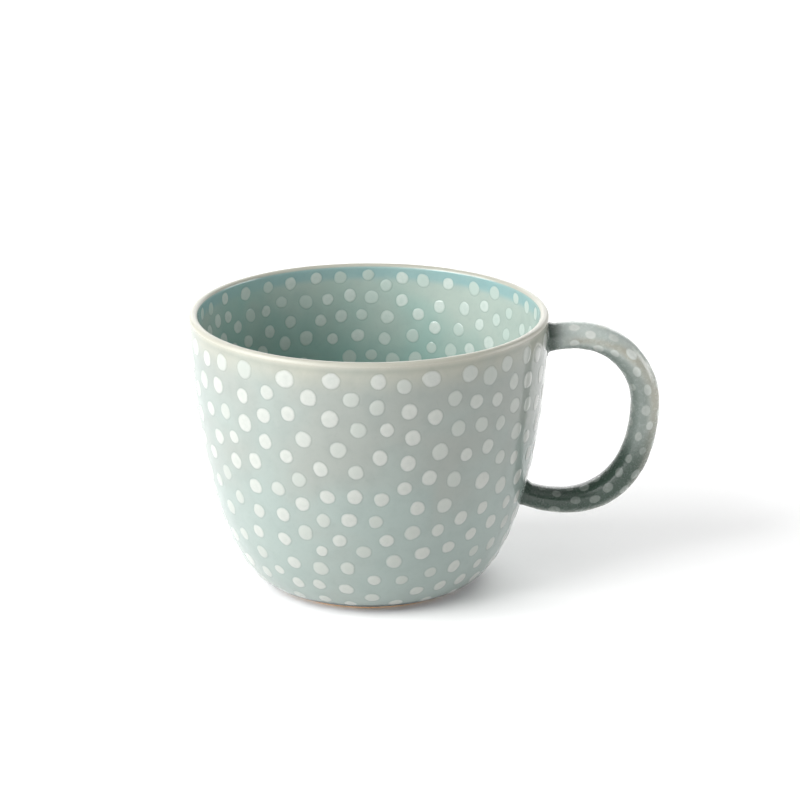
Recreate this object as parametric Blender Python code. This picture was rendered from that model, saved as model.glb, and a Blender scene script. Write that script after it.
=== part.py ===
"""A dotted stoneware mug: a turned cup, a pulled ring handle, the luting slip that joins them,
and the glaze coats outside, inside and round the handle.

Units are metres, +Z is up. The origin is on the cup's own axis, in the plane that the foot
stands on, and the handle points along +X. Pieces that touch on the real mug keep a gap of GAP.
"""

import math

import bmesh
import bpy
from mathutils import Vector

# Cup
HEIGHT = 0.0783
RIM_RADIUS = 0.0500
LIP_THICKNESS = 0.0024
WALL_THICKNESS = 0.0041
HEEL_THICKNESS = 0.0062
LIP_TAPER = 0.35
HEEL_TAPER = 0.30

# Foot: the outside glaze ends a little above the table, and the bare clay is set back under it
GLAZE_LINE = 0.0009
GLAZE_LINE_RADIUS = 0.02775
FOOT_SETBACK = 0.0008
FOOT_ROUNDING = 0.0004

# Outline of the cup's outside: a cubic curve that swells out of the foot and ends upright
SWELL_OUT = 0.0170
SWELL_UP = 0.0029
SHOULDER_RADIUS = 0.0506
SHOULDER_HEIGHT = 0.0605

# Glaze coats and the clear gap between touching pieces
COAT = 0.0004
GAP = 0.0003
LIP_BARE = 0.0016

# Handle: an oval roll that follows two cubic curves in the XZ plane, each point as (X, Z).
# Its thicknesses are those of the glazed handle, and it is fullest at the bend below its middle.
HANDLE_TOP_ROOT = (0.0499, 0.0702)
HANDLE_TOP_REACH = (0.0692, 0.0751)
HANDLE_OUTER_PULL_UP = (0.0774, 0.0604)
HANDLE_OUTERMOST = (0.0774, 0.0521)
HANDLE_OUTER_PULL_DOWN = (0.0774, 0.0266)
HANDLE_LOW_REACH = (0.0616, 0.0176)
HANDLE_LOW_ROOT = (0.0430, 0.0247)
HANDLE_THICKNESS_TOP = 0.0076
HANDLE_THICKNESS_BEND = 0.0083
HANDLE_THICKNESS_LOW = 0.0066
HANDLE_BEND_AT = 0.68
HANDLE_WIDTH_RATIO = 1.12
ROOT_FLARE = 0.0005
ROOT_FLARE_LENGTH = 0.0030
ROOT_DEPTH = 0.0030
ROOT_PLUG_LENGTH = 0.0040

# Luting slip, as a thin pad between the wall and the end of the handle
SLIP_THICKNESS = 0.0010

# Fineness
TURNED_STEPS = 48
OUTLINE_STEPS = 12
FLOOR_STEPS = 4
LIP_STEPS = 6
HANDLE_STEPS = 14
HANDLE_SIDES = 16
MERGE_DISTANCE = 0.00001
SHARP_ANGLE = math.radians(40)


def clear_scene():
    for obj in list(bpy.data.objects):
        bpy.data.objects.remove(obj)


def material(name, colour, roughness):
    result = bpy.data.materials.new(name)
    result.use_nodes = True
    shader = result.node_tree.nodes["Principled BSDF"]
    shader.inputs["Base Color"].default_value = (*colour, 1.0)
    shader.inputs["Roughness"].default_value = roughness
    shader.inputs["Metallic"].default_value = 0.0
    return result


def link_mesh(name, bm, surface):
    mesh = bpy.data.meshes.new(name)
    bm.to_mesh(mesh)
    bm.free()
    mesh.shade_smooth()
    mesh.set_sharp_from_angle(angle=SHARP_ANGLE)
    mesh.materials.append(surface)
    obj = bpy.data.objects.new(name, mesh)
    bpy.context.scene.collection.objects.link(obj)
    return obj


def hide_as_cutter(obj):
    obj.hide_render = True
    obj.display_type = "WIRE"
    return obj


def boolean(obj, operation, other):
    modifier = obj.modifiers.new(operation.lower() + "_" + other.name, "BOOLEAN")
    modifier.operation = operation
    modifier.solver = "EXACT"
    modifier.object = other


# --- Outlines of the turned pieces, as lists of (radius, height) vectors ---


def cubic(p0, p1, p2, p3, t):
    s = 1.0 - t
    return s**3 * Vector(p0) + 3 * s * s * t * Vector(p1) + 3 * s * t * t * Vector(p2) + t**3 * Vector(p3)


def cubic_slope(p0, p1, p2, p3, t):
    s = 1.0 - t
    slope = s * s * (Vector(p1) - Vector(p0)) + 2 * s * t * (Vector(p2) - Vector(p1))
    return slope + t * t * (Vector(p3) - Vector(p2))


def outer_curve():
    foot = (GLAZE_LINE_RADIUS, GLAZE_LINE)
    swell = (GLAZE_LINE_RADIUS + SWELL_OUT, GLAZE_LINE + SWELL_UP)
    shoulder = (SHOULDER_RADIUS, SHOULDER_HEIGHT)
    lip = (RIM_RADIUS, HEIGHT - LIP_THICKNESS / 2)
    return foot, swell, shoulder, lip


def smooth(value):
    value = min(max(value, 0.0), 1.0)
    return value * value * (3 - 2 * value)


def wall_thickness(t):
    """Whole thickness of the wall, glaze to glaze: a heavy heel, an even wall, a thin lip."""
    at_heel = (HEEL_THICKNESS - WALL_THICKNESS) * smooth(1 - t / HEEL_TAPER)
    at_lip = (WALL_THICKNESS - LIP_THICKNESS) * smooth((t - 1 + LIP_TAPER) / LIP_TAPER)
    return WALL_THICKNESS + at_heel - at_lip


def outside(depth, top=1.0):
    """The outside outline, from the foot up, sunk into the wall by depth."""
    points = []
    for step in range(OUTLINE_STEPS + 1):
        t = top * step / OUTLINE_STEPS
        slope = cubic_slope(*outer_curve(), t).normalized()
        points.append(cubic(*outer_curve(), t) + depth * Vector((-slope.y, slope.x)))
    return points


def inside(depth, top=1.0):
    """The inside outline, from the middle of the floor up, sunk into the wall by depth."""
    wall = []
    for step in range(OUTLINE_STEPS + 1):
        t = top * step / OUTLINE_STEPS
        slope = cubic_slope(*outer_curve(), t).normalized()
        inward = Vector((-slope.y, slope.x))
        wall.append(cubic(*outer_curve(), t) + (wall_thickness(t) - depth) * inward)
    heel = wall[0]
    rise = cubic_slope(*outer_curve(), 0.0)
    bowl = rise.y / rise.x / (2 * heel.x)
    floor = []
    for step in range(FLOOR_STEPS):
        radius = heel.x * step / FLOOR_STEPS
        floor.append(Vector((radius, heel.y - bowl * (heel.x**2 - radius**2))))
    return floor + wall


def lip_arc():
    """The round lip, from its outer side over the top to its inner side."""
    radius = LIP_THICKNESS / 2
    points = []
    for step in range(LIP_STEPS + 1):
        angle = math.pi * step / LIP_STEPS
        points.append(
            Vector(
                (
                    RIM_RADIUS - radius + radius * math.cos(angle),
                    HEIGHT - radius + radius * math.sin(angle),
                )
            )
        )
    return points


def coat_top():
    """Where the coats end below the lip, as a position along the outside outline."""
    length = (cubic(*outer_curve(), 1.0) - cubic(*outer_curve(), 0.9)).length
    return 1.0 - 0.1 * (LIP_BARE - LIP_THICKNESS / 2) / length


def turned(name, outline, surface, closed):
    """Turn an outline about Z. It runs down its outer side, and a closed one is a ring."""
    bm = bmesh.new()
    verts = [bm.verts.new((point.x, 0.0, point.y)) for point in outline]
    for first, second in zip(verts, verts[1:]):
        bm.edges.new((first, second))
    if closed:
        bm.edges.new((verts[-1], verts[0]))
    obj = link_mesh(name, bm, surface)
    screw = obj.modifiers.new("turn", "SCREW")
    screw.axis = "Z"
    screw.angle = 2 * math.pi
    screw.steps = TURNED_STEPS
    screw.render_steps = TURNED_STEPS
    screw.use_merge_vertices = True
    screw.merge_threshold = MERGE_DISTANCE
    screw.use_smooth_shade = True
    return obj


def cup_filled_to(name, rise, surface):
    """A solid cup grown outwards by rise: what it removes from the handle stands that far off."""
    side = outside(-rise)
    top = Vector((0.0, HEIGHT))
    outline = [top, Vector((side[-1].x, HEIGHT))] + side[::-1] + [Vector((0.0, GLAZE_LINE - rise))]
    return hide_as_cutter(turned(name, outline, surface, closed=False))


# --- The handle's path and section ---


def handle_path():
    """Stations along the middle of the handle, with both ends sunk into the wall.

    Each is its place along the handle, from 0 to 1, and its (x, z) point.
    """
    upper = (HANDLE_TOP_ROOT, HANDLE_TOP_REACH, HANDLE_OUTER_PULL_UP, HANDLE_OUTERMOST)
    lower = (HANDLE_OUTERMOST, HANDLE_OUTER_PULL_DOWN, HANDLE_LOW_REACH, HANDLE_LOW_ROOT)
    points = [cubic(*upper, step / HANDLE_STEPS) for step in range(HANDLE_STEPS)]
    points += [cubic(*lower, step / HANDLE_STEPS) for step in range(HANDLE_STEPS + 1)]
    start = points[0] + (points[0] - points[1]).normalized() * ROOT_DEPTH
    end = points[-1] + (points[-1] - points[-2]).normalized() * ROOT_DEPTH
    middle = [(index / (len(points) - 1), point) for index, point in enumerate(points)]
    return [(0.0, start)] + middle + [(1.0, end)]


def handle_thickness(place):
    """Thickness at a place along the handle, from 0 at its upper root to 1 at its lower one."""
    filling = (HANDLE_THICKNESS_BEND - HANDLE_THICKNESS_TOP) * smooth(place / HANDLE_BEND_AT)
    thinning = (HANDLE_THICKNESS_BEND - HANDLE_THICKNESS_LOW) * smooth(
        (place - HANDLE_BEND_AT) / (1 - HANDLE_BEND_AT)
    )
    return HANDLE_THICKNESS_TOP + filling - thinning


def root_flare(point):
    nearest = min((point - Vector(HANDLE_TOP_ROOT)).length, (point - Vector(HANDLE_LOW_ROOT)).length)
    return ROOT_FLARE * math.exp(-((nearest / ROOT_FLARE_LENGTH) ** 2))


def sweep(name, path, grow, surface):
    """An oval roll along path, grown on every side by grow, or sunk where grow is negative."""
    bm = bmesh.new()
    rings = []
    for index, (place, point) in enumerate(path):
        before = path[max(index - 1, 0)][1]
        after = path[min(index + 1, len(path) - 1)][1]
        along = (after - before).normalized()
        across = Vector((-along.y, along.x))
        thickness = handle_thickness(place)
        half_thickness = thickness / 2 + root_flare(point) + grow
        half_width = thickness * HANDLE_WIDTH_RATIO / 2 + root_flare(point) + grow
        ring = []
        for side in range(HANDLE_SIDES):
            angle = 2 * math.pi * side / HANDLE_SIDES
            spot = point + across * half_thickness * math.cos(angle)
            ring.append(bm.verts.new((spot.x, half_width * math.sin(angle), spot.y)))
        rings.append(ring)
    for ring, following in zip(rings, rings[1:]):
        for side in range(HANDLE_SIDES):
            beside = (side + 1) % HANDLE_SIDES
            bm.faces.new((ring[side], ring[beside], following[beside], following[side]))
    bm.faces.new(rings[0][::-1])
    bm.faces.new(rings[-1])
    bmesh.ops.recalc_face_normals(bm, faces=bm.faces)
    return link_mesh(name, bm, surface)


def root_path(root):
    """The short stretch of the handle's path that passes through the wall at one root."""
    return [station for station in handle_path() if (station[1] - Vector(root)).length < ROOT_PLUG_LENGTH]


# --- The pieces ---


def make_cup_body():
    clay = material("stoneware_clay", (0.56, 0.45, 0.33), 0.80)
    skin = COAT + GAP
    shoulder = coat_top()
    top_of_bare = HEIGHT - LIP_BARE + GAP
    outer_side = outside(skin, shoulder)[::-1]
    inner_side = inside(skin, shoulder)
    shoulder_out = Vector((outer_side[0].x, top_of_bare))
    shoulder_in = Vector((inner_side[-1].x, top_of_bare))
    lip = lip_arc()
    foot_radius = GLAZE_LINE_RADIUS - FOOT_SETBACK
    foot = [
        Vector((foot_radius, outer_side[-1].y)),
        Vector((foot_radius, FOOT_ROUNDING)),
        Vector((foot_radius - FOOT_ROUNDING, 0.0)),
        Vector((0.0, 0.0)),
    ]
    lip_inner_foot = Vector((lip[-1].x, top_of_bare))
    lip_outer_foot = Vector((lip[0].x, top_of_bare))
    outline = inner_side + [shoulder_in, lip_inner_foot] + lip[::-1] + [lip_outer_foot, shoulder_out]
    outline += outer_side + foot
    return turned("cup_body", outline, clay, closed=False)


def make_outside_glaze(root_cutters):
    glaze = material("celadon_glaze_outside", (0.52, 0.62, 0.58), 0.12)
    top = coat_top()
    outline = outside(0.0, top)[::-1] + outside(COAT, top)
    obj = turned("outside_glaze", outline, glaze, closed=True)
    for cutter in root_cutters:
        boolean(obj, "DIFFERENCE", cutter)
    return obj


def make_liner_glaze():
    glaze = material("celadon_glaze_inside", (0.36, 0.55, 0.51), 0.12)
    top = coat_top()
    outline = inside(0.0, top) + inside(COAT, top)[::-1]
    return turned("liner_glaze", outline, glaze, closed=False)


def make_handle(wall_cutter):
    clay = material("handle_clay", (0.56, 0.45, 0.33), 0.80)
    obj = sweep("handle", handle_path(), -(COAT + GAP), clay)
    boolean(obj, "DIFFERENCE", wall_cutter)
    return obj


def make_handle_glaze(bore, wall_cutter):
    glaze = material("celadon_glaze_handle", (0.40, 0.50, 0.45), 0.12)
    obj = sweep("handle_glaze", handle_path(), 0.0, glaze)
    boolean(obj, "DIFFERENCE", bore)
    boolean(obj, "DIFFERENCE", wall_cutter)
    return obj


def make_luting_slip(name, root, band):
    slip = material(name, (0.60, 0.50, 0.38), 0.85)
    obj = sweep(name, root_path(root), -(COAT + GAP), slip)
    boolean(obj, "INTERSECT", band)
    return obj


def main():
    clear_scene()
    guide = material("cutter", (0.8, 0.2, 0.2), 0.5)
    clay_face = -(COAT + GAP)
    slip_inner = clay_face + GAP
    slip_outer = slip_inner + SLIP_THICKNESS
    handle_end = slip_outer + GAP

    root_cutters = []
    for name, root in (("upper_root_cutter", HANDLE_TOP_ROOT), ("lower_root_cutter", HANDLE_LOW_ROOT)):
        root_cutters.append(hide_as_cutter(sweep(name, root_path(root), -COAT, guide)))
    slip_band = hide_as_cutter(
        turned("slip_band_cutter", outside(-slip_outer)[::-1] + outside(-slip_inner), guide, closed=True)
    )
    handle_cutter = cup_filled_to("handle_end_cutter", handle_end, guide)
    glaze_cutter = cup_filled_to("handle_glaze_end_cutter", GAP, guide)
    bore = hide_as_cutter(sweep("handle_bore_cutter", handle_path(), -COAT, guide))

    make_cup_body()
    make_outside_glaze(root_cutters)
    make_liner_glaze()
    make_handle(handle_cutter)
    make_handle_glaze(bore, glaze_cutter)
    make_luting_slip("upper_luting_slip", HANDLE_TOP_ROOT, slip_band)
    make_luting_slip("lower_luting_slip", HANDLE_LOW_ROOT, slip_band)


main()
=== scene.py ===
"""The dotted stoneware mug as it looks: celadon glaze coats over raised dots of white slip, a cream
lip, a bare clay foot, and a plain pale floor under soft studio light. Lengths are in metres.
"""

import math
import random

import bpy
import numpy as np
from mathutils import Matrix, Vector, noise
from mathutils.geometry import delaunay_2d_cdt


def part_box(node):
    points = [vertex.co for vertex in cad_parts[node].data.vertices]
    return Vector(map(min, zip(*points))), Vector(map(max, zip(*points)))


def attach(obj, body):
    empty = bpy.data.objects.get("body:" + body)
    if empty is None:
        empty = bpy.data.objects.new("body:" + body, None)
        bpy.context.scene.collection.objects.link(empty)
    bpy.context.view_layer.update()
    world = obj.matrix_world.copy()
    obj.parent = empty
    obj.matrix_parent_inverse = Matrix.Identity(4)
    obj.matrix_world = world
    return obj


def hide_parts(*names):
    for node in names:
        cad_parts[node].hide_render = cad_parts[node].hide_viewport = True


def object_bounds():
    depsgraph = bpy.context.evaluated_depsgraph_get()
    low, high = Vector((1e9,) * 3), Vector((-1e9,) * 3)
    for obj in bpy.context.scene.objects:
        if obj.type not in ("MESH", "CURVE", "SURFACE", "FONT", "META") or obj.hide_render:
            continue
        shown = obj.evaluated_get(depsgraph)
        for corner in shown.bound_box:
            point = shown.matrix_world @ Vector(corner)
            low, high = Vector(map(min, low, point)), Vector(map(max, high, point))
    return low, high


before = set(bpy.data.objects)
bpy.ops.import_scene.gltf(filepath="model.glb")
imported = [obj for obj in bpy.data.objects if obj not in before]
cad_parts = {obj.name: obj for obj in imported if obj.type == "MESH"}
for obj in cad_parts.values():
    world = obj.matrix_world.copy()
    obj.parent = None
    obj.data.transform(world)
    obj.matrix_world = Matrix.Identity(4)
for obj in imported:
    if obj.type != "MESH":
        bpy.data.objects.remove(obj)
cad_low, cad_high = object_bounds()

MM = 0.001
TURN = 2 * math.pi
SEED = 5

# --- Shape of the cup and the handle, as the CAD part has them ---

HEIGHT = cad_high.z
GLAZE_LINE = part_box("outside_glaze")[0].z
GLAZE_LINE_RADIUS = 0.02775
RIM_RADIUS = 0.0500
LIP_THICKNESS = 0.0024
WALL_THICKNESS = 0.0041
HEEL_THICKNESS = 0.0062
LIP_TAPER = 0.35
HEEL_TAPER = 0.30
FOOT_SETBACK = 0.0008
FOOT_ROUNDING = 0.0004
SWELL = (GLAZE_LINE_RADIUS + 0.0170, GLAZE_LINE + 0.0029)
SHOULDER = (0.0506, 0.0605)
COAT = 0.0004

HANDLE_UPPER = ((0.0499, 0.0702), (0.0692, 0.0751), (0.0774, 0.0604), (0.0774, 0.0521))
HANDLE_LOWER = ((0.0774, 0.0521), (0.0774, 0.0266), (0.0616, 0.0176), (0.0430, 0.0247))
HANDLE_THICKNESS_TOP = 0.0076
HANDLE_THICKNESS_BEND = 0.0083
HANDLE_THICKNESS_LOW = 0.0066
HANDLE_BEND_AT = 0.68
HANDLE_WIDTH_RATIO = 1.12

# --- Finer shape, which only the looks need ---

BEAD_RADIUS = 0.35 * MM
BEAD_TURN = math.radians(150)
ROOT_SUNK = 1.8 * MM
DEEPEST = 1.1 * MM
FILLET = 1.1 * MM
FILLET_SUNK = 0.12 * MM
FLOOR_GAP = 0.8 * MM
UNDER_SLOPE = math.radians(21)
FOOT_BAND = 4.3 * MM
RIPPLE_HEIGHT = 0.05 * MM
RIPPLE_LENGTH = 9 * MM


def smooth(value):
    value = np.clip(value, 0.0, 1.0)
    return value * value * (3 - 2 * value)


def cubic(points, t):
    """Points and directions of a cubic curve at the places t."""
    p = [np.array(point) for point in points]
    t = np.asarray(t)[:, None]
    s = 1 - t
    place = s**3 * p[0] + 3 * s * s * t * p[1] + 3 * s * t * t * p[2] + t**3 * p[3]
    slope = s * s * (p[1] - p[0]) + 2 * s * t * (p[2] - p[1]) + t * t * (p[3] - p[2])
    return place, slope / np.linalg.norm(slope, axis=1)[:, None]


def distances(points):
    """How far along a line each of its points is."""
    return np.append(0, np.cumsum(np.linalg.norm(np.diff(points, axis=0), axis=1)))


# --- Surfaces: each gives a point for an angle, a distance along it and a height above it ---


class Turned:
    """A surface turned about Z from an outline of (radius, height) points."""

    def __init__(self, outline, side, first_rows, last_rows, shade):
        self.outline = outline
        self.along = distances(outline)
        self.length = self.along[-1]
        slope = np.gradient(outline, self.along, axis=0)
        slope /= np.linalg.norm(slope, axis=1)[:, None]
        self.normals = side * np.stack([-slope[:, 1], slope[:, 0]], axis=1)
        middle = (outline[1:, 0] + outline[:-1, 0]) / 2
        self.stretch = np.append(0, np.cumsum(np.diff(self.along) / middle))
        self.first_rows = first_rows
        self.last_rows = last_rows
        self.shade = shade

    def radius(self, along):
        return np.interp(along, self.along, self.outline[:, 0])

    def points(self, angle, along, height):
        radius = self.radius(along) + height * np.interp(along, self.along, self.normals[:, 0])
        level = np.interp(along, self.along, self.outline[:, 1])
        level = level + height * np.interp(along, self.along, self.normals[:, 1])
        return np.stack([radius * np.cos(angle), radius * np.sin(angle), level], axis=1)


class Roll:
    """The handle's surface: an oval section along the handle's path, filleted into the wall."""

    def __init__(self, wall, first_rows, last_rows):
        t = np.linspace(0, 1, 300)
        path = np.concatenate([cubic(HANDLE_UPPER, t)[0], cubic(HANDLE_LOWER, t[1:])[0]])
        path = np.concatenate([[self.extended(path)], path, [self.extended(path[::-1])]])
        self.path = path
        self.along = distances(path)
        self.length = self.along[-1]
        self.slope = np.gradient(path, self.along, axis=0)
        steps = np.diff(self.along)
        self.stretch = np.append(0, np.cumsum(steps / self.radius(self.along[1:] - steps / 2)))
        self.first_rows = first_rows
        self.last_rows = [self.length - row for row in last_rows]
        order = np.argsort(wall.outline[:, 1])
        self.wall_levels = wall.outline[order, 1]
        self.wall_radii = wall.outline[order, 0]

    def extended(self, path):
        """A point past the start of the path, inside the wall."""
        back = path[0] - path[1]
        return path[0] + back / np.linalg.norm(back) * ROOT_SUNK

    def place(self, along):
        """0 at the upper root and 1 at the lower one."""
        return (along - ROOT_SUNK) / (self.length - 2 * ROOT_SUNK)

    def thickness(self, along):
        to_bend = smooth(self.place(along) / HANDLE_BEND_AT)
        past_bend = smooth((self.place(along) - HANDLE_BEND_AT) / (1 - HANDLE_BEND_AT))
        growing = (HANDLE_THICKNESS_BEND - HANDLE_THICKNESS_TOP) * to_bend
        return HANDLE_THICKNESS_TOP + growing - (HANDLE_THICKNESS_BEND - HANDLE_THICKNESS_LOW) * past_bend

    def radius(self, along):
        return self.thickness(along) * (1 + HANDLE_WIDTH_RATIO) / 4

    def points(self, angle, along, height):
        plain = self.section(angle, along, 0 * height)
        points = self.section(angle, along, height + self.fillet(plain))
        deepest = np.interp(points[:, 2], self.wall_levels, self.wall_radii) - DEEPEST
        points[:, :2] *= np.maximum(1.0, deepest / np.hypot(points[:, 0], points[:, 1]))[:, None]
        return points

    def section(self, angle, along, grow):
        x, z = (np.interp(along, self.along, self.path[:, axis]) for axis in (0, 1))
        slope_x, slope_z = (np.interp(along, self.along, self.slope[:, axis]) for axis in (0, 1))
        half = self.thickness(along) / 2
        out = (half + grow) * np.cos(angle)
        across = (half * HANDLE_WIDTH_RATIO + grow) * np.sin(angle)
        return np.stack([x - slope_z * out, across, z + slope_x * out], axis=1)

    def fillet(self, points):
        """How far the section widens where it meets the wall, as a rounded corner of glaze."""
        wall = np.interp(points[:, 2], self.wall_levels, self.wall_radii)
        gap = np.clip(np.hypot(points[:, 0], points[:, 1]) - wall + FILLET_SUNK, 0, FILLET)
        return FILLET - np.sqrt(FILLET**2 - (FILLET - gap) ** 2)

    def shade(self, angle, along, points):
        """Pale along a ridge that runs from under the upper limb to the outside of the bend: partly the
        glaze breaking on the ridge, partly painted light on the lit side of the roll. Dark on the inner
        side, along the lower limb and at the roots: partly gathered glaze, partly painted shade where the
        cup shades the handle."""
        place = self.place(along)
        out = np.cos(angle)
        # The ridge, the outer face and the edge below the bend are painted light on the lit side of the
        # roll, over a glaze that breaks pale there.
        ridge_at = -0.16 + 0.86 * smooth((place - 0.06) / 0.34)
        width = 0.27 + 0.23 * smooth((place - 0.15) / 0.2)
        ridge = np.exp(-(((out - ridge_at) / width) ** 2)) * smooth((place - 0.03) / 0.07)
        outer_face = smooth((out - 0.05) / 0.5) * smooth((place - 0.26) / 0.14)
        edge = 0.6 * smooth((out - 0.35) / 0.5)
        past = smooth((place - 0.56) / 0.16)
        thin_and_lit = np.maximum(ridge, outer_face) * (1 - past) + edge * past
        to_root = np.minimum(along, self.length - along)
        # Painted shade at the roots, where the handle meets the wall, over glaze gathered there.
        root = 1 - smooth((to_root - 2.4 * MM) / (4.4 * MM))
        # Painted shade along the lower limb, which the cup shades, over glaze gathered there.
        low = smooth((place - 0.40) / 0.22) * (1 - 0.45 * smooth((out - 0.35) / 0.5))
        # Painted shade on the inner side of the handle, which faces the cup.
        inside = smooth((ridge_at - 0.2 - out) / 0.55) * (0.66 - 0.08 * smooth(place / 0.4))
        pool_and_shade = np.maximum(np.maximum(root, low), inside)
        return thin_and_lit, pool_and_shade, 0 * along, 0 * along


def outer_curve(t):
    foot = (GLAZE_LINE_RADIUS, GLAZE_LINE)
    lip = (RIM_RADIUS, HEIGHT - LIP_THICKNESS / 2)
    return cubic((foot, SWELL, SHOULDER, lip), t)


def wall_thickness(t):
    at_heel = (HEEL_THICKNESS - WALL_THICKNESS) * smooth(1 - t / HEEL_TAPER)
    at_lip = (WALL_THICKNESS - LIP_THICKNESS) * smooth((t - 1 + LIP_TAPER) / LIP_TAPER)
    return WALL_THICKNESS + at_heel - at_lip


def inner_curve(t, sunk=0.0):
    """The inner wall, or a line that far inside its clay."""
    place, slope = outer_curve(t)
    inward = np.stack([-slope[:, 1], slope[:, 0]], axis=1)
    return place + (wall_thickness(t)[:, None] - sunk) * inward


def lip_arc(start, end, sunk=0.0):
    """Points round the lip from the angle start to the angle end. A quarter turn is its crown."""
    radius = LIP_THICKNESS / 2
    turn = np.linspace(start, end, 30)
    across = RIM_RADIUS - radius + (radius - sunk) * np.cos(turn)
    return np.stack([across, HEIGHT - radius + (radius - sunk) * np.sin(turn)], axis=1)


LIP_LENGTH = LIP_THICKNESS / 2 * math.pi / 2
LIP_ROWS = [LIP_LENGTH * part for part in (0, 0.02, 0.09, 0.2, 0.32, 0.45, 0.58, 0.71, 0.85, 1.0)]
UNDER_LIP_ROWS = [distance * MM for distance in (2.2, 2.5, 2.8, 3.1)]


def to_root(points, path, thickness):
    """How far points on the wall are from the handle's section where it meets the wall."""
    root = np.array([path[0][0], 0.0, path[0][1]])
    axis = np.array([path[1][0] - path[0][0], 0.0, path[1][1] - path[0][1]])
    axis /= np.linalg.norm(axis)
    aside = points - root
    aside = aside - (aside @ axis)[:, None] * axis
    across = aside[:, 1] / HANDLE_WIDTH_RATIO
    distance = np.sqrt(aside[:, 0] ** 2 + across**2 + aside[:, 2] ** 2) - thickness / 2
    return np.where(points[:, 0] > 0, distance, 1.0)


def to_handle(points):
    upper = to_root(points, HANDLE_UPPER, HANDLE_THICKNESS_TOP)
    return np.minimum(upper, to_root(points, HANDLE_LOWER[::-1], HANDLE_THICKNESS_LOW))


def underside_level():
    """The level below which the wall turns under, out of sight."""
    place, slope = outer_curve(np.linspace(0, 1, 1200))
    return place[np.argmax(slope[:, 1] > math.sin(UNDER_SLOPE)), 1]


def outside_shade(angle, along, points):
    """Thinly glazed and warm under the rim. Darker in a faint line under the lip, which is painted shade;
    from where the wall turns under down to the glaze line, which is painted shade with glaze gathered at the
    glaze line; and round the handle's roots, which is painted shade with glaze gathered there.
    """
    level = points[:, 2]
    thin_and_lit = smooth((level - HEIGHT + 10 * MM) / (9 * MM))
    # A faint dark line under the lip: painted shade below the lip's roll, with the glaze a little thicker
    # there.
    under_lip_shade = 0.17 * np.exp(-(((along - 3.2 * MM) / (0.75 * MM)) ** 2))
    # Dark from where the wall turns under down to the glaze line: painted shade under the swell, and glaze
    # gathered at the glaze line.
    line = 1 - smooth((level - underside_level() - 1.2 * MM) / (0.5 * MM))
    # Dark round the handle's roots: painted shade where the handle meets the wall, and glaze gathered there.
    roots = 0.75 * (1 - smooth((to_handle(points) - 0.8 * MM) / (2.2 * MM)))
    bare = 1 - smooth((along - 1.3 * MM) / (1.3 * MM))
    drift_and_shade = smooth((HEIGHT - 18 * MM - level) / (42 * MM))
    return thin_and_lit, np.maximum(np.maximum(line, roots), under_lip_shade), bare, drift_and_shade


def inside_shade(angle, along, points):
    """A band of blue under the lip, glaze gathered at the heel, and a colour that drifts deeper further
    down. It is darker still on the side away from the handle, which is painted shade, and paler towards it,
    which is painted light."""
    band = smooth((along - 1.1 * MM) / (0.5 * MM)) * (1 - smooth((along - 3.9 * MM) / (2.2 * MM)))
    heel = 0.5 * np.exp(-(((np.hypot(points[:, 0], points[:, 1]) - 28.5 * MM) / (3 * MM)) ** 2))
    bare = 1 - smooth((along - 1.1 * MM) / (0.5 * MM))
    # Painted shade on the side away from the handle and painted light on the side towards it.
    side = points[:, 0] / (45 * MM)
    drift_and_shade = smooth((along - 9 * MM) / (26 * MM)) * (1 - 0.5 * smooth(side)) + 0.5 * smooth(-side)
    return band, heel, bare, drift_and_shade


def outside_surface():
    """From the crown of the lip down to the glaze line, and round the bead that the glaze ends in."""
    wall, slope = outer_curve(np.linspace(1, 0, 1200))
    foot_slope = slope[-1]
    inward = np.array([-foot_slope[1], foot_slope[0]])
    centre = wall[-1] + inward * BEAD_RADIUS
    turn = np.linspace(0, BEAD_TURN, 30)[1:, None]
    bead = centre - BEAD_RADIUS * (inward * np.cos(turn) + foot_slope * np.sin(turn))
    outline = np.concatenate([lip_arc(math.pi / 2, 0)[:-1], wall, bead])
    length = distances(outline)[-1]
    bead_start = length - BEAD_RADIUS * BEAD_TURN
    foot_rows = list(np.linspace(bead_start - FOOT_BAND, bead_start - 0.4 * MM, 9))
    bead_rows = list(np.linspace(bead_start - 0.1 * MM, length, 9))
    return Turned(outline, 1, LIP_ROWS + UNDER_LIP_ROWS, foot_rows + bead_rows, outside_shade)


def inside_surface():
    """From the crown of the lip down the inside and across the floor, to near its middle."""
    wall = inner_curve(np.linspace(1, 0, 1200))
    heel_radius, heel_height = wall[-1]
    slope = outer_curve([0.0])[1][0]
    bowl = slope[1] / slope[0] / (2 * heel_radius)
    radius = np.linspace(heel_radius, FLOOR_GAP, 300)[1:]
    floor = np.stack([radius, heel_height - bowl * (heel_radius**2 - radius**2)], axis=1)
    outline = np.concatenate([lip_arc(math.pi / 2, math.pi)[:-1], wall, floor])
    return Turned(outline, -1, LIP_ROWS, [distances(outline)[-1]], inside_shade)


# --- Slip dots ---

DOT_SIDES = 20
DOT_PROFILE = ((0.42, 1.0), (0.70, 0.92), (0.87, 0.62), (0.96, 0.25), (1.0, 0.0))
DOT_TALL = (0.96, 1.08)
POOL_INNER = 0.13 * MM
POOL_OUTER = 0.34 * MM
POOL_DEPTH = 0.015 * MM
OFF_DOTS = 2.0
CROWDED = 2.1
ROUNDS = 14
EDGE_GAP = 0.08 * MM
TRIES = 24000
HANDLE_TRIES = 9000


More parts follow.
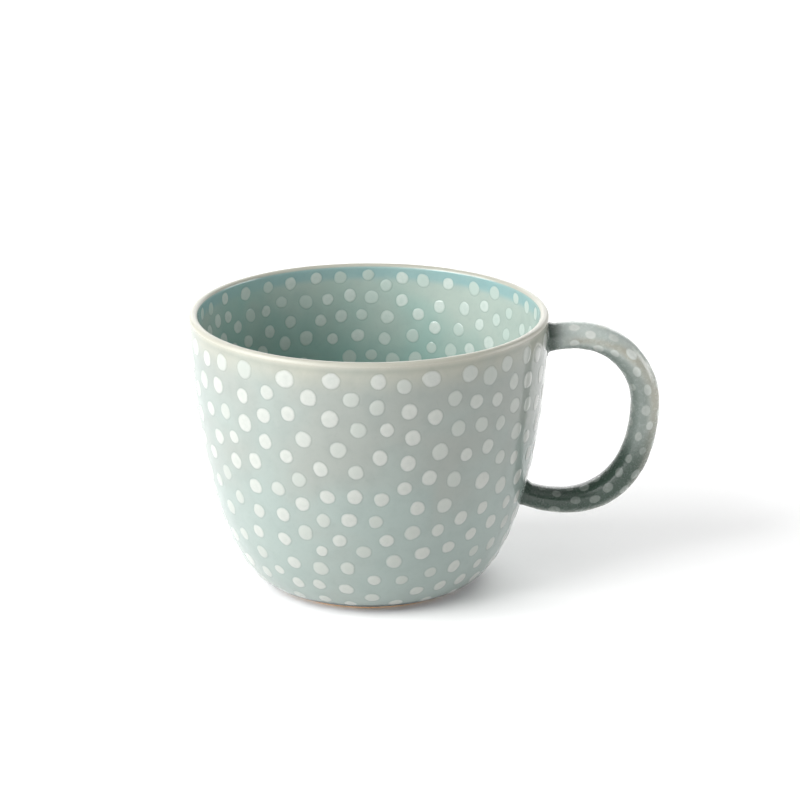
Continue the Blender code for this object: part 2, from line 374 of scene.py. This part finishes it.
class Dot:
    """One touch of slip: an uneven round patch, raised above the glaze."""

    def __init__(self, rng, angle, along, radius, rise, tall=DOT_TALL):
        self.angle = angle
        self.along = along
        self.radius = radius
        self.rise = rise * rng.uniform(0.7, 1.2)
        self.tall = rng.uniform(*tall)
        self.tone = rng.random()
        self.above = self.below = 1.0
        self.waves = []
        for count, most in ((2, 0.055), (3, 0.035), (4, 0.025), (5, 0.02)):
            self.waves.append((count, rng.uniform(0.0, most), rng.uniform(0, TURN)))

    def edge(self, turn):
        """Distance from the middle to the edge in the direction turn."""
        return self.radius * (1 + sum(size * math.cos(n * turn + phase) for n, size, phase in self.waves))

    def reach(self, turn, fraction, beyond):
        """A place on a ring of the dot: how far round and how far along from its middle."""
        away = fraction * self.edge(turn) + beyond
        along = away * math.sin(turn) * self.tall
        return away * math.cos(turn), along * (self.below if along > 0 else self.above)

    def fit(self, start, end):
        """Flattens the dot where it would pass the start or the end of the surface."""
        reaches = [self.reach(TURN * side / DOT_SIDES, 1.0, POOL_OUTER)[1] for side in range(DOT_SIDES)]
        self.above = min(1.0, (self.along - start) / -min(reaches))
        self.below = min(1.0, (end - self.along) / max(reaches))


def scatter(
    rng,
    surface,
    start,
    end,
    sizes,
    rise,
    clear,
    tries=TRIES,
    shrink=1.0,
    row=(),
    keep_off=None,
    tall=DOT_TALL,
):
    """Dots thrown at random and kept where they stand clear of the others, until no more fit."""
    dots = list(row)
    placed = np.array([(dot.angle, dot.along, dot.radius) for dot in dots]).reshape(-1, 3)
    widest = float(surface.radius(np.linspace(start, end, 50)).max())
    squeeze = sum(tall) / 2
    for _ in range(tries):
        along = rng.uniform(start, end)
        angle = rng.uniform(0, TURN)
        radius = rng.triangular(*sizes) * (1 + (shrink - 1) * along / surface.length)
        here = float(surface.radius(along))
        if rng.random() > here / widest:
            continue
        around = (placed[:, 0] - angle + math.pi) % TURN - math.pi
        away = np.hypot(here * around, (placed[:, 1] - along) / squeeze)
        if (away < placed[:, 2] + radius + clear).any():
            continue
        spot = np.array([[angle, along, radius]])
        if keep_off and keep_off(surface, spot)[0]:
            continue
        dots.append(Dot(rng, angle, along, radius, rise, tall))
        placed = np.vstack([placed, spot])
    spread(dots, len(row), surface, start, end, CROWDED * clear, keep_off)
    return clear_ones(dots, surface)


def offsets(placed, surface):
    """How far each spot is from each other one: around the surface, along it and straight."""
    step = 0.01 * MM
    angle, along, zero = placed[:, 0], placed[:, 1], np.zeros(len(placed))
    here = surface.points(angle, along, zero)
    across_way = surface.points(angle + step / surface.radius(along), along, zero) - here
    down_way = surface.points(angle, along + step, zero) - here
    across_way /= np.linalg.norm(across_way, axis=1)[:, None]
    down_way /= np.linalg.norm(down_way, axis=1)[:, None]
    apart = here[None] - here[:, None]
    across = (apart * across_way[:, None]).sum(axis=2)
    down = (apart * down_way[:, None]).sum(axis=2)
    return across, down, np.linalg.norm(apart, axis=2) + np.eye(len(placed))


def spread(dots, fixed, surface, start, end, gap, keep_off):
    """Moves crowded dots apart, as a hand that dots a pot spaces them by eye."""
    placed = np.array([(dot.angle, dot.along, dot.radius) for dot in dots])
    for _ in range(ROUNDS):
        across, down, away = offsets(placed, surface)
        near = placed[:, 2] + placed[:, 2, None] + gap
        push = 0.14 * np.clip(near - away, 0, None) / away
        moved = placed.copy()
        moved[fixed:, 0] -= ((push * across).sum(axis=1) / surface.radius(placed[:, 1]))[fixed:]
        moved[fixed:, 1] -= (push * down).sum(axis=1)[fixed:]
        moved[fixed:, 1] = np.clip(moved[fixed:, 1], start, end)
        stay = keep_off(surface, moved) if keep_off else np.zeros(len(dots), bool)
        placed = np.where(stay[:, None], placed, moved)
    for dot, (angle, along, _) in zip(dots, placed):
        dot.angle = float(angle) % TURN
        dot.along = float(along)


def clear_ones(dots, surface):
    """The dots whose rings of gathered glaze stay clear of one another."""
    placed = np.array([(dot.angle, dot.along, dot.radius) for dot in dots])
    here = surface.radius(placed[:, 1])
    around = (placed[:, 0] - placed[:, 0, None] + math.pi) % TURN - math.pi
    across = around * np.minimum(here, here[:, None])
    down = placed[:, 1] - placed[:, 1, None]
    away = np.hypot(across, down)
    tall = np.array([dot.tall for dot in dots])
    turn = np.arctan2(down, across)
    most = 1.16 * placed[:, 2, None] * np.hypot(np.cos(turn), tall[:, None] * np.sin(turn)) + POOL_OUTER
    touching = away < most + most.T + EDGE_GAP
    kept = []
    for index in range(len(dots)):
        if not any(touching[index, other] for other in kept):
            kept.append(index)
    return [dots[index] for index in kept]


def first_row(rng, surface, along, spacing, sizes, rise):
    """The row of dots that follows the rim."""
    count = round(TURN * float(surface.radius(along)) / spacing)
    row = []
    for index in range(count):
        angle = TURN * (index + rng.uniform(-0.17, 0.17)) / count
        place = along + rng.uniform(-0.6, 0.6) * MM
        row.append(Dot(rng, angle % TURN, place, rng.triangular(*sizes), rise))
    return row


# --- Mesh of a glaze coat with its dots ---

WALL_SIDES = 240
ROLL_SIDES = 40
CLAY_SIDES = 192
FLOOR_SIDES = 12
BACK_ROWS = 36


class Sheet:
    """Points by angle, distance along a surface and height above it, with the faces between them."""

    def __init__(self, surface):
        self.surface = surface
        self.rows = []
        self.meets = []
        self.faces = []
        self.loops = []

    def add(self, angle, along, height=0.0, edge=OFF_DOTS, tone=0.5, meets=False):
        """Adds a point. One that meets others is joined to its neighbours by join_round."""
        self.rows.append((angle, along, height, edge, tone))
        self.meets.append(meets)
        return len(self.rows) - 1

    def add_row(self, along, count, height=0.0, meets=False):
        return [self.add(TURN * index / count, along, height, meets=meets) for index in range(count)]

    def bridge(self, first, second):
        """Faces between two rows of as many points."""
        for index in range(len(first)):
            beside = (index + 1) % len(first)
            self.faces.append((first[index], first[beside], second[beside], second[index]))

    def close(self, row, along, height):
        """Faces from a row to one point at the middle of the floor. Returns that point."""
        middle = self.add(0.0, along, height)
        for index in range(len(row)):
            self.faces.append((row[index], row[(index + 1) % len(row)], middle))
        return middle

    def add_dot(self, dot):
        scale = float(self.surface.radius(dot.along))
        centre = self.add(dot.angle, dot.along, dot.rise * 0.97, 0.0, dot.tone)
        rings = []
        reaches = [(fraction, 0.0, dot.rise * level, fraction) for fraction, level in DOT_PROFILE]
        reaches += [(1.0, POOL_INNER, -POOL_DEPTH, 1.5), (1.0, POOL_OUTER, 0.0, OFF_DOTS)]
        for fraction, beyond, height, edge in reaches:
            ring = []
            for side in range(DOT_SIDES):
                around, down = dot.reach(TURN * side / DOT_SIDES, fraction, beyond)
                ring.append(self.add(dot.angle + around / scale, dot.along + down, height, edge, dot.tone))
            rings.append(ring)
        inner = rings[0]
        self.faces += [(centre, inner[side], inner[(side + 1) % DOT_SIDES]) for side in range(DOT_SIDES)]
        for inner, outer in zip(rings, rings[1:]):
            for side in range(DOT_SIDES):
                beside = (side + 1) % DOT_SIDES
                self.faces.append((inner[side], outer[side], outer[beside], inner[beside]))
        for point in rings[-1]:
            self.meets[point] = True
        self.loops.append(rings[-1])

    def add_ground(self, rng, dots, start, end, spacing):
        """Uneven rows of points between the dots."""
        surface = self.surface
        count_of_rows = max(2, round((end - start) / (spacing * 0.87)))
        placed = np.array([(dot.angle, dot.along, dot.radius, max(1.0, dot.tall)) for dot in dots])
        for row in range(1, count_of_rows):
            level = start + (end - start) * row / count_of_rows
            count = max(8, round(TURN * float(surface.radius(level)) / spacing))
            for index in range(count):
                angle = TURN * (index + row % 2 / 2 + rng.uniform(-0.2, 0.2)) / count % TURN
                along = level + rng.uniform(-0.2, 0.2) * spacing
                around = (placed[:, 0] - angle + math.pi) % TURN - math.pi
                across = float(surface.radius(along)) * around
                away = np.hypot(across, (placed[:, 1] - along) / placed[:, 3])
                if (away > placed[:, 2] * 1.14 + POOL_OUTER + spacing * 0.4).all():
                    self.add(angle, along, meets=True)

    def join_round(self):
        """Triangles between the dots' outer rings. The surface meets itself after one turn."""
        angle, along = np.array(self.rows)[:, :2].T
        level = np.interp(along, self.surface.along, self.surface.stretch)
        meets = np.array(self.meets)
        owner = np.full(len(angle), -1)
        middle = angle.copy()
        for number, loop in enumerate(self.loops):
            owner[loop] = number
            middle[loop] = angle[loop].mean()
        margin = 1.3
        places, source, edges = [], [], []
        for shift in (0.0, TURN, -TURN):
            near = (middle + shift > -margin) & (middle + shift < TURN + margin) & meets
            index_of = {}
            for point in np.flatnonzero(near):
                index_of[point] = len(places)
                places.append(Vector((angle[point] + shift, level[point])))
                source.append(int(point))
            for loop in self.loops:
                if near[loop[0]]:
                    edges += [(index_of[one], index_of[two]) for one, two in zip(loop, loop[1:] + loop[:1])]
        _, _, triangles, origins, _, _ = delaunay_2d_cdt(places, edges, [], 0, 1e-9, True)
        for triangle in triangles:
            corners = [origins[corner][0] for corner in triangle]
            one, two, three = (source[corner] for corner in corners)
            within_dot = owner[one] >= 0 and owner[one] == owner[two] == owner[three]
            if not within_dot and 0 <= sum(places[corner].x for corner in corners) / 3 < TURN:
                self.faces.append((one, two, three))


def ripple(points):
    """The slow unevenness of a hand-dipped glaze."""
    return np.array([RIPPLE_HEIGHT * noise.noise(Vector(point) / RIPPLE_LENGTH) for point in points])


def coat_mesh(name, surface, dots, spacing, count, inward_side):
    """A closed coat of glaze: its dotted face, and a plain face behind it."""
    rng = random.Random(SEED)
    sheet = Sheet(surface)
    first = [sheet.add_row(along, count) for along in surface.first_rows]
    closed_floor = len(surface.last_rows) == 1
    last_count = FLOOR_SIDES if closed_floor else count
    last = [sheet.add_row(along, last_count) for along in surface.last_rows]
    for rows in (first, last):
        for row, following in zip(rows, rows[1:]):
            sheet.bridge(row, following)
    for point in first[-1] + last[0]:
        sheet.meets[point] = True
    for dot in dots:
        dot.fit(surface.first_rows[-1] + EDGE_GAP, surface.last_rows[0] - EDGE_GAP)
        sheet.add_dot(dot)
    sheet.add_ground(rng, dots, surface.first_rows[-1], surface.last_rows[0], spacing)
    sheet.join_round()
    behind = np.linspace(surface.last_rows[0], 0, BACK_ROWS)
    back = [sheet.add_row(along, count, -COAT) for along in behind]
    for row, following in zip(back, back[1:]):
        sheet.bridge(row, following)
    sheet.bridge(back[-1], first[0])
    if closed_floor:
        sheet.close(last[-1], surface.length, 0.0)
        sheet.close(back[0][::-1], surface.length, -COAT)
    else:
        sheet.bridge(last[-1], back[0])
    angle, along, height, edge, tone = np.array(sheet.rows).T
    flat = surface.points(angle, along, 0 * height)
    points = surface.points(angle, along, height + ripple(flat))
    if closed_floor:
        for middle in (len(points) - 2, len(points) - 1):
            points[middle, :2] = 0.0
    thin_and_lit, pool_and_shade, bare, drift_and_shade = surface.shade(angle, along, flat)
    faces = sheet.faces if inward_side else [face[::-1] for face in sheet.faces]
    shades = {
        "dot_edge": edge,
        "dot_tone": tone,
        "thin_and_lit": thin_and_lit,
        "pool_and_shade": pool_and_shade,
        "bare": bare,
        "drift_and_shade": drift_and_shade,
    }
    return mesh_object(name, points, faces, shades)


def mesh_object(name, points, faces, attributes=None):
    mesh = bpy.data.meshes.new(name)
    mesh.from_pydata([tuple(map(float, point)) for point in points], [], faces)
    for label, values in (attributes or {}).items():
        layer = mesh.attributes.new(label, "FLOAT", "POINT")
        layer.data.foreach_set("value", np.array(values, dtype=np.float32))
    mesh.update()
    mesh.shade_smooth()
    mesh.set_sharp_from_angle(angle=math.radians(60))
    obj = bpy.data.objects.new(name, mesh)
    bpy.context.scene.collection.objects.link(obj)
    return obj


def turned_mesh(name, outline, sides):
    """A closed solid turned about Z from an outline that starts and ends on the axis."""
    points = [(0.0, 0.0, outline[0][1])]
    rings = []
    for radius, level in outline[1:-1]:
        rings.append(list(range(len(points), len(points) + sides)))
        for side in range(sides):
            angle = TURN * side / sides
            points.append((radius * math.cos(angle), radius * math.sin(angle), level))
    last = len(points)
    points.append((0.0, 0.0, outline[-1][1]))
    faces = [(0, rings[0][side], rings[0][(side + 1) % sides]) for side in range(sides)]
    for ring, following in zip(rings, rings[1:]):
        for side in range(sides):
            beside = (side + 1) % sides
            faces.append((ring[side], following[side], following[beside], ring[beside]))
    faces += [(last, rings[-1][(side + 1) % sides], rings[-1][side]) for side in range(sides)]
    return mesh_object(name, points, faces)


# --- Materials ---


class Nodes:
    """Short names for making a material's nodes."""

    def __init__(self, name):
        self.material = bpy.data.materials.new(name)
        self.material.use_nodes = True
        self.tree = self.material.node_tree
        self.shader = self.tree.nodes["Principled BSDF"]
        self.position = self.tree.nodes.new("ShaderNodeTexCoord").outputs["Object"]

    def link(self, value, socket):
        if isinstance(value, bpy.types.NodeSocket):
            self.tree.links.new(value, socket)
        else:
            socket.default_value = value

    def attribute(self, name):
        node = self.tree.nodes.new("ShaderNodeAttribute")
        node.attribute_name = name
        return node.outputs["Fac"]

    def noise(self, scale, detail=2.0, roughness=0.5, distortion=0.0):
        node = self.tree.nodes.new("ShaderNodeTexNoise")
        self.link(self.position, node.inputs["Vector"])
        node.inputs["Scale"].default_value = scale
        node.inputs["Detail"].default_value = detail
        node.inputs["Roughness"].default_value = roughness
        node.inputs["Distortion"].default_value = distortion
        return node.outputs["Fac"]

    def span(self, value, low, high, to_low=0.0, to_high=1.0):
        node = self.tree.nodes.new("ShaderNodeMapRange")
        node.interpolation_type = "SMOOTHSTEP"
        self.link(value, node.inputs["Value"])
        for label, number in zip(("From Min", "From Max", "To Min", "To Max"), (low, high, to_low, to_high)):
            node.inputs[label].default_value = number
        return node.outputs["Result"]

    def math(self, operation, first, second=0.0):
        node = self.tree.nodes.new("ShaderNodeMath")
        node.operation = operation
        self.link(first, node.inputs[0])
        self.link(second, node.inputs[1])
        return node.outputs[0]

    def times(self, first, second):
        return self.math("MULTIPLY", first, second)

    def plus(self, first, second):
        return self.math("ADD", first, second)

    def mix(self, factor, first, second):
        node = self.tree.nodes.new("ShaderNodeMix")
        node.data_type = "RGBA"
        self.link(factor, node.inputs["Factor"])
        for value, socket in ((first, node.inputs[6]), (second, node.inputs[7])):
            self.link(value if isinstance(value, bpy.types.NodeSocket) else (*value, 1.0), socket)
        return node.outputs[2]

    def bump(self, value, distance, strength=1.0):
        node = self.tree.nodes.new("ShaderNodeBump")
        node.inputs["Distance"].default_value = distance
        node.inputs["Strength"].default_value = strength
        self.link(value, node.inputs["Height"])
        self.link(node.outputs["Normal"], self.shader.inputs["Normal"])


LIP_CREAM = (0.352, 0.348, 0.296)


def glaze(
    name,
    ground,
    drift,
    thin_and_lit_colour,
    pool_and_shade_colour,
    slip,
    slip_faint,
    ring_strength=0.15,
    roughness=0.09,
    sunk=0.58,
):
    """A glossy celadon over slip dots. It drifts in colour, and inside the cup the drift also holds painted
    shade and painted light. It breaks pale where the glaze runs thinly and where light is painted, gathers
    dark where the glaze is thick and where shade is painted, and rings each dot with a fine darker line. The
    share sunk says how much of the gathered glaze and painted shade lies over the dots too."""
    n = Nodes(name)
    edge, tone = n.attribute("dot_edge"), n.attribute("dot_tone")
    thin_and_lit, pool_and_shade, bare, drift_and_shade = map(n.attribute, ("thin_and_lit", "pool_and_shade", "bare", "drift_and_shade"))
    broad = n.noise(42.0, 2.0, 0.5, 0.4)
    middle = n.noise(170.0, 3.0, 0.55)
    fine = n.noise(900.0, 3.0, 0.6)
    speck = n.noise(2600.0, 2.0, 0.5)
    # The drift mix also holds painted shade and painted light on the inside of the cup.
    body = n.mix(n.span(n.plus(broad, n.times(drift_and_shade, 0.35)), 0.36, 0.92), ground, drift)
    thin_and_lit_amount = n.times(thin_and_lit, n.span(broad, 0.25, 0.7, 1.0, 0.55))
    # The pale mix also holds painted light on the handle's lit side.
    body = n.mix(thin_and_lit_amount, body, thin_and_lit_colour)
    body = n.mix(n.times(n.span(middle, 0.42, 0.70), 0.07), body, pool_and_shade_colour)
    body = n.mix(n.times(n.span(fine, 0.48, 0.78), 0.05), body, pool_and_shade_colour)
    # The gathered-glaze mix also holds painted shade: on the handle, under the lip, under the swell and
    # round the handle's roots.
    body = n.mix(n.times(pool_and_shade, n.span(broad, 0.3, 0.7, 1.0, 0.9)), body, pool_and_shade_colour)
    ring = n.times(n.span(edge, 1.0, 1.25), n.span(edge, 1.95, 1.45))
    body = n.mix(n.times(ring, ring_strength), body, pool_and_shade_colour)
    body = n.mix(bare, body, LIP_CREAM)
    dot = n.mix(n.span(tone, 0.35, 1.0, 0.0, 0.8), slip, slip_faint)
    dulled = n.times(n.span(edge, 0.8, 0.2), n.span(middle, 0.35, 0.65, 0.1, 0.35))
    dot = n.mix(dulled, dot, slip_faint)
    dot = n.mix(n.times(n.span(fine, 0.38, 0.66), 0.34), dot, slip_faint)
    dot = n.mix(n.span(edge, 0.6, 1.0, 0.0, 0.35), dot, slip_faint)
    # The share sunk lays that gathered glaze and painted shade over the dots as well.
    dot = n.mix(n.times(pool_and_shade, sunk), dot, pool_and_shade_colour)
    ragged = n.plus(edge, n.times(n.math("SUBTRACT", fine, 0.5), 0.12))
    colour = n.mix(n.span(ragged, 0.79, 1.09), dot, body)
    n.link(colour, n.shader.inputs["Base Color"])
    gloss = n.span(fine, 0.3, 0.7, roughness, roughness + 0.05)
    n.link(n.plus(gloss, n.times(bare, 0.25)), n.shader.inputs["Roughness"])
    n.shader.inputs["IOR"].default_value = 1.5
    n.bump(n.plus(middle, n.times(speck, 0.04)), 0.00004, 0.5)
    return n.material


def bare_clay(name, pale, dark):
    """Fired sandy stoneware with a little iron in it."""
    n = Nodes(name)
    grain = n.noise(1500.0, 4.0, 0.7)
    patch = n.noise(120.0, 3.0, 0.6)
    iron = n.noise(700.0, 2.0, 0.5)
    clay = n.mix(n.span(patch, 0.35, 0.65), pale, dark)
    clay = n.mix(n.times(n.span(grain, 0.5, 0.8), 0.4), clay, tuple(0.6 * part for part in dark))
    clay = n.mix(n.span(iron, 0.70, 0.76), clay, (0.16, 0.09, 0.05))
    n.link(clay, n.shader.inputs["Base Color"])
    n.link(n.span(grain, 0.3, 0.7, 0.78, 0.92), n.shader.inputs["Roughness"])
    n.bump(grain, 0.00012, 0.8)
    return n.material


# --- Pieces ---


def paint(obj, material):
    obj.data.materials.clear()
    obj.data.materials.append(material)


def finish_piece(obj, material, node):
    paint(obj, material)
    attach(obj, "root")
    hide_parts(node)


def too_near_handle(surface, spots):
    """Whether each spot, an angle, a distance along and a radius, is too near the handle's roots."""
    points = surface.points(spots[:, 0], spots[:, 1], np.zeros(len(spots)))
    return to_handle(points) < spots[:, 2] + 1.7 * MM


def make_outside(surface):
    rng = random.Random(11)
    sizes = (2.00 * MM, 2.90 * MM, 2.45 * MM)
    rise = 0.11 * MM
    start = 7.2 * MM
    row = first_row(rng, surface, 6.1 * MM, 12.4 * MM, (2.1 * MM, 2.8 * MM, 2.45 * MM), rise)
    spots = np.array([(dot.angle, dot.along, dot.radius) for dot in row])
    row = [dot for dot, too_near in zip(row, too_near_handle(surface, spots)) if not too_near]
    end = surface.last_rows[0] - 0.9 * MM
    clear = 1.75 * MM
    dots = scatter(
        rng, surface, start, end, sizes, rise, clear, shrink=0.80, row=row, keep_off=too_near_handle
    )
    obj = coat_mesh("outside_glaze_coat", surface, dots, 1.35 * MM, WALL_SIDES, inward_side=False)
    material = glaze(
        "celadon_outside",
        ground=(0.236, 0.258, 0.236),
        drift=(0.236, 0.284, 0.264),
        thin_and_lit_colour=(0.31, 0.313, 0.259),
        # The gathered-glaze colour is also painted shade under the lip, under the swell and round the
        # handle's roots.
        pool_and_shade_colour=(0.045, 0.067, 0.075),
        slip=(0.38, 0.392, 0.368),
        slip_faint=(0.31, 0.338, 0.31),
    )
    finish_piece(obj, material, "outside_glaze")


def make_inside(surface):
    rng = random.Random(23)
    sizes = (1.55 * MM, 2.25 * MM, 1.85 * MM)
    rise = 0.06 * MM
    row = first_row(rng, surface, 4.4 * MM, 8.2 * MM, sizes, rise)
    end = surface.length - 2.6 * MM
    clear = 1.4 * MM
    dots = scatter(rng, surface, 6.4 * MM, end, sizes, rise, clear, row=row)
    obj = coat_mesh("liner_glaze_coat", surface, dots, 1.45 * MM, WALL_SIDES, inward_side=True)
    material = glaze(
        "celadon_inside",
        ground=(0.335, 0.395, 0.355),
        # The drift colour is also the painted shade on the inside's side away from the handle.
        drift=(0.225, 0.36, 0.325),
        thin_and_lit_colour=(0.225, 0.36, 0.362),
        pool_and_shade_colour=(0.086, 0.158, 0.151),
        slip=(0.475, 0.53, 0.495),
        slip_faint=(0.37, 0.45, 0.41),
    )
    finish_piece(obj, material, "liner_glaze")


def make_handle(wall):
    root_rows = [0.32 * MM * row for row in range(16)]
    surface = Roll(wall, root_rows, root_rows[::-1])
    rng = random.Random(37)
    sizes = (1.00 * MM, 1.50 * MM, 1.20 * MM)
    start = root_rows[-1] + 2.4 * MM
    end = surface.length - start
    rise = 0.06 * MM
    clear = 1.05 * MM
    dots = scatter(rng, surface, start, end, sizes, rise, clear, HANDLE_TRIES, tall=(1.1, 1.5))
    obj = coat_mesh("handle_glaze_coat", surface, dots, 0.80 * MM, ROLL_SIDES, inward_side=False)
    material = glaze(
        "celadon_handle",
        # The handle's ground and slip are set lighter than on the cup's outside: painted light on the
        # handle's upper limb.
        ground=(0.39, 0.43, 0.407),
        drift=(0.335, 0.385, 0.362),
        thin_and_lit_colour=(0.30, 0.285, 0.228),
        # A near-black gathered-glaze colour: painted shade on the lower limb, the inner side and the roots,
        # laid over the dots by sunk.
        pool_and_shade_colour=(0.031, 0.055, 0.040),
        slip=(0.52, 0.545, 0.515),
        slip_faint=(0.37, 0.40, 0.37),
        ring_strength=0.0,
        roughness=0.24,
        sunk=0.74,
    )
    finish_piece(obj, material, "handle_glaze")


def make_clay():
    """The cup's clay: only its foot shows, and the rest lies under the glaze coats."""
    sunk = 1.5 * COAT
    t = np.linspace(0, 1, 60)
    outer, slope = outer_curve(t)
    outer = outer + sunk * np.stack([-slope[:, 1], slope[:, 0]], axis=1)
    inner = inner_curve(t, sunk)
    radius = GLAZE_LINE_RADIUS - FOOT_SETBACK
    turn = np.linspace(0, -math.pi / 2, 7)
    across = radius - FOOT_ROUNDING * (1 - np.cos(turn))
    corner = np.stack([across, FOOT_ROUNDING * (1 + np.sin(turn))], axis=1)
    floor_level = inner[0, 1] - 2.3 * MM
    outline = np.concatenate(
        [
            [(0.0, floor_level), (0.5 * inner[0, 0], floor_level + 0.5 * MM)],
            inner,
            lip_arc(math.pi, 0, sunk)[1:-1],
            outer[::-1],
            [(radius, GLAZE_LINE + BEAD_RADIUS)],
            corner,
            [(0.6 * radius, 0.0), (0.0, 0.0)],
        ]
    )
    obj = turned_mesh("cup_clay", [tuple(point) for point in outline], CLAY_SIDES)
    finish_piece(obj, bare_clay("stoneware", (0.80, 0.52, 0.29), (0.68, 0.41, 0.20)), "cup_body")


def paint_hidden_nodes():
    paint(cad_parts["handle"], bare_clay("handle_clay", (0.58, 0.43, 0.28), (0.46, 0.32, 0.19)))
    slip = bare_clay("joining_slip", (0.60, 0.48, 0.34), (0.52, 0.40, 0.27))
    for node in ("upper_luting_slip", "lower_luting_slip"):
        paint(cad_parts[node], slip)


# --- Floor, light and camera ---

BACKDROP = 1.0
FLOOR_REACH = 9.0
FLOOR_GLOW = 0.04
GLOW_STARTS = 0.7
GLOW_FULL = 1.7
HORIZON_EDGE = 0.09
ROOM_EDGE = 0.22
ROOM = 0.06


def make_floor():
    """A white floor that glows a little near the mug, and fades to a white backdrop far from it."""
    mesh = bpy.data.meshes.new("floor")
    reach = FLOOR_REACH
    corners = [(-reach, -reach, 0), (reach, -reach, 0), (reach, reach, 0), (-reach, reach, 0)]
    mesh.from_pydata(corners, [], [(0, 1, 2, 3)])
    floor = bpy.data.objects.new("floor", mesh)
    bpy.context.scene.collection.objects.link(floor)
    n = Nodes("floor_white")
    n.shader.inputs["Base Color"].default_value = (0.94, 0.94, 0.94, 1.0)
    n.shader.inputs["Roughness"].default_value = 0.7
    away = n.tree.nodes.new("ShaderNodeVectorMath")
    away.operation = "LENGTH"
    n.link(n.position, away.inputs[0])
    n.shader.inputs["Emission Color"].default_value = (1.0, 1.0, 1.0, 1.0)
    glow = n.span(away.outputs["Value"], GLOW_STARTS, GLOW_FULL, FLOOR_GLOW, BACKDROP)
    n.link(glow, n.shader.inputs["Emission Strength"])
    paint(floor, n.material)


def softbox(name, azimuth, elevation, distance, size, brightness):
    """A soft panel of light. Azimuth 0 is in front of the mug, and 90 is to its right."""
    turn, tilt = math.radians(azimuth), math.radians(elevation)
    aim = Vector((0.0, 0.0, HEIGHT / 2))
    way = Vector((math.sin(turn) * math.cos(tilt), -math.cos(turn) * math.cos(tilt), math.sin(tilt)))
    light = bpy.data.lights.new(name, "AREA")
    light.shape = "RECTANGLE"
    light.size, light.size_y = size
    light.energy = brightness * math.pi * size[0] * size[1]
    obj = bpy.data.objects.new(name, light)
    bpy.context.scene.collection.objects.link(obj)
    obj.location = aim + distance * way
    obj.rotation_euler = way.to_track_quat("Z", "Y").to_euler()
    obj.visible_camera = False


def make_world():
    """A dim room, white at the horizon so that low views have a plain background."""
    world = bpy.data.worlds.new("dim_room")
    world.use_nodes = True
    background = world.node_tree.nodes["Background"]
    background.inputs["Color"].default_value = (1.0, 1.0, 1.0, 1.0)
    nodes, links = world.node_tree.nodes, world.node_tree.links
    split = nodes.new("ShaderNodeSeparateXYZ")
    links.new(nodes.new("ShaderNodeTexCoord").outputs["Generated"], split.inputs[0])
    above = nodes.new("ShaderNodeMath")
    above.operation = "ABSOLUTE"
    links.new(split.outputs["Z"], above.inputs[0])
    horizon = nodes.new("ShaderNodeMapRange")
    horizon.interpolation_type = "SMOOTHSTEP"
    links.new(above.outputs[0], horizon.inputs["Value"])
    horizon.inputs["From Min"].default_value = HORIZON_EDGE
    horizon.inputs["From Max"].default_value = ROOM_EDGE
    horizon.inputs["To Min"].default_value = BACKDROP
    horizon.inputs["To Max"].default_value = ROOM
    links.new(horizon.outputs["Result"], background.inputs["Strength"])
    bpy.context.scene.world = world


def make_light():
    softbox("key_left", -68, 30, 1.15, (1.1, 0.8), 7.9)
    softbox("key_front", -45, 24, 1.15, (0.9, 0.8), 2.0)
    softbox("top", 180, 80, 1.25, (1.4, 1.2), 0.6)
    softbox("top_front", 0, 60, 1.25, (1.4, 0.8), 0.7)
    softbox("back", 180, 25, 1.35, (1.6, 0.9), 2.9)
    softbox("right", 100, 14, 1.2, (0.7, 0.5), 5.5)
    softbox("low_front", -8, 9, 1.2, (1.4, 0.3), 1.4)


def make_camera():
    """Looks down at the mug from in front, with the handle to the right."""
    elevation = math.radians(18.02)
    distance = 0.90
    aim = Vector((0.00866, 0.0, 0.05204))
    data = bpy.data.cameras.new("camera")
    data.sensor_width = 36.0
    data.lens = 144.3
    data.clip_start = 0.01
    data.clip_end = 50.0
    camera = bpy.data.objects.new("camera", data)
    bpy.context.scene.collection.objects.link(camera)
    camera.location = aim + distance * Vector((0.0, -math.cos(elevation), math.sin(elevation)))
    camera.rotation_euler = (aim - camera.location).to_track_quat("-Z", "Y").to_euler()
    bpy.context.scene.camera = camera


outside = outside_surface()
make_outside(outside)
make_inside(inside_surface())
make_handle(outside)
make_clay()
paint_hidden_nodes()
make_floor()
make_world()
make_light()
make_camera()
bpy.context.scene.view_settings.view_transform = "Standard"
